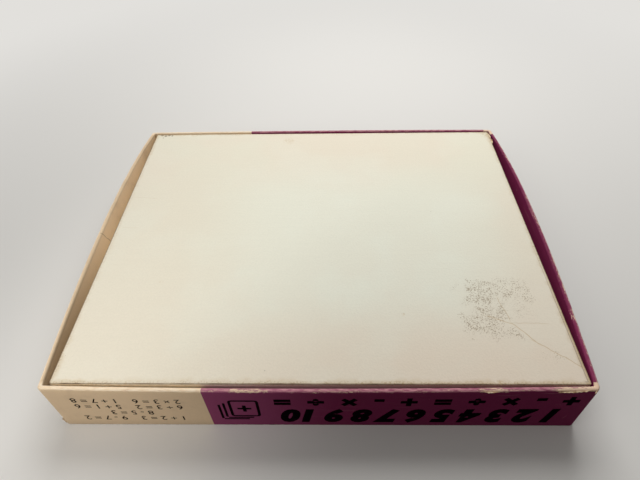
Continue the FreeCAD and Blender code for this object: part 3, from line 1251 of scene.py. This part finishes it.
class Lid:
    """The lid: its printed paper, the print on its front wall and the torn paper along its rim."""

    NUMBERS = Figures("1 2 3 4 5 6 7 8 9 10", 10.8, 0.7, 0.2, 0.92, 30.4, 7.3)
    SIGNS = Figures("+  -  ×  ÷  =  +  -  ×  ÷  =", 8.6, 0.42, 0.0, 0.95, 30.4, 16.3)
    SUM_LINES = ("1 + 2 = 3    9 - 7 = 2", "8 - 5 = 3", "6 ÷ 3 = 2    5 + 1 = 6", "2 × 3 = 6    1 + 7 = 8")
    SUMS = Figures("\n".join(SUM_LINES), 3.6, 0.015, 0.0, 1.0, -53.4, 10.4)
    TEARS = (
        TornStrip(3.4, 0.7, 3, (-76.0, -62.5, 1.9), (1.57, 0.0, 3.0)),
        TornStrip(10.0, 0.42, 4, (69.6, -63.0, 21.62), (0.0, 0.35, -1.5)),
        TornStrip(3.0, 0.4, 6, (75.2, -62.5, 21.5), (0.0, 0.3, -0.75)),
        TornStrip(4.0, 0.34, 12, (46.8, -63.25, 21.6), (0.0, 0.35, -1.57)),
    )
    BOWS = {
        Side.FRONT: Bow(0.8, -5.0),
        Side.RIGHT: Bow(3.1, 10.0),
        Side.BACK: Bow(0.5, 10.0),
        Side.LEFT: Bow(3.2, 10.0),
    }

    # Knocks in the rim: place along and across, reach and push.
    KNOCKS = (
        (47.0, -63.2, 2.2, (0.0, 0.05, -0.05)),
        (50.5, -63.2, 1.2, (0.0, 0.04, -0.04)),
        (-19.0, -63.4, 3.0, (0.0, 0.04, -0.04)),
        (75.6, -62.4, 2.0, (-0.05, 0.05, -0.06)),
        (75.6, 62.4, 2.0, (-0.05, -0.05, -0.06)),
        (-79.0, -0.8, 1.2, (0.09, 0.0, -0.04)),
        (-79.0, 15.2, 1.4, (0.09, 0.0, -0.04)),
        (-78.0, 31.5, 1.8, (0.09, 0.0, -0.04)),
        (78.0, -38.6, 1.8, (-0.08, 0.0, -0.04)),
        (77.2, -45.8, 1.4, (-0.06, 0.0, -0.04)),
    )

    def __init__(self, effects: PaperEffects) -> None:
        """Sets out the lid's paper as its walls have sprung.

        Args:
            effects: the marks that papers share.
        """
        self.effects = effects
        dents = tuple(Dent((x, y, LID_HEIGHT), reach, push) for x, y, reach, push in self.KNOCKS)
        self.wrap = PaperWrap(LID_LENGTH, LID_DEPTH, LID_HEIGHT, self.BOWS, dents,
                              rim_round=0.6, corner=1.3, wave=0.14)

    def build(self) -> None:
        """Builds and dresses every piece of the lid."""
        paper = PrintedPaper(self.effects).material()
        wrap = finish_mesh(self.wrap.build(), "lid_paper_wrap", paper, "lid")
        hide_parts("lid_wrap")
        ink = BlackInk(self.effects).material()
        printer = WallPrint(self.wrap)
        pieces = {
            "lid_print_numbers": printer.words(self.NUMBERS),
            "lid_print_signs": printer.words(self.SIGNS),
            "lid_print_cards": printer.cards(),
            "lid_print_sums": printer.words(self.SUMS),
        }
        for name, mesh in pieces.items():
            finish_mesh(mesh, name, ink, "lid")
        tears = bmesh.new()
        for tear in self.TEARS:
            tear.add_to(tears)
        finish_mesh(tears, "lid_paper_tears", TornPaper(self.effects).material(), "lid")


class Tray:
    """The tray, turned base up: its plain paper and the frayed end of its fold."""

    FRAY = TornStrip(8.6, 1.1, 5, (74.0, 56.4, 21.64), (0.0, 0.1, 0.06))

    def __init__(self, effects: PaperEffects) -> None:
        """Sets out the tray's paper."""
        self.effects = effects
        self.wrap = PaperWrap(TRAY_LENGTH, TRAY_DEPTH, TRAY_HEIGHT, {}, corner=0.8)

    def build(self) -> None:
        """Builds and dresses the tray's paper."""
        mesh = self.wrap.build()
        turned = Matrix.Translation((*TRAY_MIDDLE, TRAY_BASE)) @ Matrix.Rotation(math.pi, 4, "X")
        bmesh.ops.transform(mesh, matrix=turned, verts=mesh.verts)
        paper = PlainPaper(self.effects).material()
        wrap = finish_mesh(mesh, "tray_paper_wrap", paper, "tray")
        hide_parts("tray_wrap")
        fray = bmesh.new()
        self.FRAY.add_to(fray)
        finish_mesh(fray, "tray_paper_fray", TornPaper(self.effects).material(), "tray")


class HiddenStock:
    """The solids whose shape is right as they come: boards, stays and cards."""

    def __init__(self, effects: PaperEffects) -> None:
        """Makes the three finishes."""
        self.finishes = {
            "_board": Chipboard(effects).material(),
            "_stay_": StayTape(effects).material(),
            "card_": CardStock(effects).material(),
        }

    def dress(self, nodes: Mapping[str, Object]) -> None:
        """Gives each solid its finish.

        Args:
            nodes: the solids by name.
        """
        for name, solid in nodes.items():
            for part, material in self.finishes.items():
                if part in name:
                    solid.data.materials.clear()
                    solid.data.materials.append(material)
                    LOG.info("%s: %s", name, material.name)


@dataclass(frozen=True)
class Softbox:
    """A soft light: where it stands and points, its side, power and colour, and its cone if it has one."""

    name: str
    place: Place
    aim: Place
    side: float
    power: float
    colour: Place
    cone: float = 0.0
    cone_edge: float = 0.8

    def hang(self) -> None:
        """Hangs the light."""
        lamp = bpy.data.lights.new(self.name, "SPOT" if self.cone else "AREA")
        if self.cone:
            lamp.spot_size = self.cone
            lamp.spot_blend = self.cone_edge
            lamp.shadow_soft_size = self.side * MM / 2
        else:
            lamp.size = self.side * MM
        lamp.energy = self.power
        lamp.color = self.colour
        stand = bpy.data.objects.new(self.name, lamp)
        stand.location = Vector(self.place) * MM
        way = Vector(self.aim) - Vector(self.place)
        stand.rotation_euler = way.to_track_quat("-Z", "Y").to_euler()
        stand.visible_camera = False
        bpy.context.scene.collection.objects.link(stand)


@dataclass
class Studio:
    """The floor, the lights and the camera, which stands where the photograph was taken."""

    camera_place: Place = (4.06, -126.38, 143.3)
    pitch: float = 0.7907
    yaw: float = 0.0288
    roll: float = -0.0247
    focal_pixels: float = 487.74
    image_width: int = 640
    sensor: float = 36.0
    nearest: float = 0.01
    floor_half: float = 3.0
    ambient: Colour = (0.18, 0.18 * 0.98, 0.18 * 0.95, 1.0)
    lights: tuple[Softbox, ...] = (
        Softbox("key light", (40.0, 220.0, 330.0), (0.0, 20.0, 0.0), 300.0, 1.28, (1.0, 1.0, 0.99)),
        Softbox("top fill", (-180.0, -160.0, 260.0), (-20.0, -40.0, 10.0), 160.0, 0.114, (1.0, 0.99, 0.97)),
        Softbox("left fill", (-140.0, -240.0, 160.0), (-72.0, -58.0, 15.0), 60.0, 1.02, (1.0, 0.98, 0.95),
                cone=0.5),
    )

    def build(self) -> None:
        """Builds everything round the object."""
        self.lay_floor()
        self.set_world()
        for light in self.lights:
            light.hang()
        self.stand_camera()
        bpy.context.scene.view_settings.view_transform = "Standard"

    def lay_floor(self) -> None:
        """Lays the floor under the box."""
        bm = bmesh.new()
        bmesh.ops.create_grid(bm, x_segments=2, y_segments=2, size=self.floor_half)
        mesh = bpy.data.meshes.new("floor")
        bm.to_mesh(mesh)
        bm.free()
        mesh.materials.append(PaleFloor().material())
        floor = bpy.data.objects.new("floor", mesh)
        bpy.context.scene.collection.objects.link(floor)

    def set_world(self) -> None:
        """Fills the room with even light, before a pale backdrop."""
        world = bpy.data.worlds.new("studio")
        world.use_nodes = True
        g = Graph(world.node_tree)
        background = world.node_tree.nodes["Background"].inputs["Color"]
        g.feed(background, g.mix(g.seen(), self.ambient, PaleFloor.pale))
        bpy.context.scene.world = world

    def stand_camera(self) -> None:
        """Puts the camera at the photograph's place and angle."""
        lens = bpy.data.cameras.new("camera")
        lens.sensor_width = self.sensor
        lens.lens = self.sensor * self.focal_pixels / self.image_width
        lens.clip_start = self.nearest
        camera = bpy.data.objects.new("camera", lens)
        turn = Matrix.Rotation(self.yaw, 4, "Z") @ Matrix.Rotation(math.pi / 2 - self.pitch, 4, "X")
        turn = turn @ Matrix.Rotation(self.roll, 4, "Z")
        camera.matrix_world = Matrix.Translation(Vector(self.camera_place) * MM) @ turn
        bpy.context.scene.collection.objects.link(camera)
        bpy.context.scene.camera = camera


def main() -> None:
    """Builds the box and the studio in order."""
    logging.basicConfig(level=logging.INFO, format="%(name)s %(message)s")
    effects = PaperEffects()
    Lid(effects).build()
    Tray(effects).build()
    HiddenStock(effects).dress(frame["nodes"])
    Studio().build()


if __name__ == "__main__":
    main()
